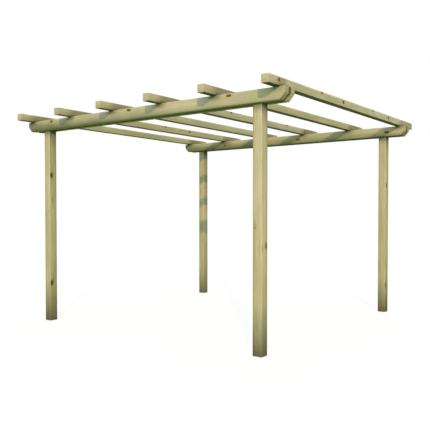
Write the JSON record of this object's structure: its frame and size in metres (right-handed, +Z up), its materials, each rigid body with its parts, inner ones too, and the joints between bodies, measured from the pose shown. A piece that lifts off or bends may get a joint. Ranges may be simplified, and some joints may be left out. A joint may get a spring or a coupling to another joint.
{
  "type": "wooden pergola",
  "caption": "Open timber pergola: notched square posts carry paired rails with cut ends, and a row of rafters lies across them.",
  "frame": {"origin": "on the ground, in the middle of the four posts", "axes": "+X along the rails, +Y along the rafters from the front rails to the back ones, +Z up"},
  "size_m": [3.64, 3.63, 2.5005],
  "materials": {
    "post_timber": "planed, pressure treated, greenish tan",
    "rail_timber": "planed, pressure treated, greenish tan",
    "rafter_timber": "planed, pressure treated, greenish tan",
    "screw_steel": "green coated countersunk screws, shown only in the dressed model"
  },
  "bodies": {
    "root": {"front_left_post": "post_timber", "front_right_post": "post_timber", "back_left_post": "post_timber", "back_right_post": "post_timber", "front_outer_rail": "rail_timber", "front_inner_rail": "rail_timber", "back_outer_rail": "rail_timber", "back_inner_rail": "rail_timber", "rafter_1": "rafter_timber", "rafter_2": "rafter_timber", "rafter_3": "rafter_timber", "rafter_4": "rafter_timber", "rafter_5": "rafter_timber", "rafter_6": "rafter_timber"}
  },
  "joints": []
}
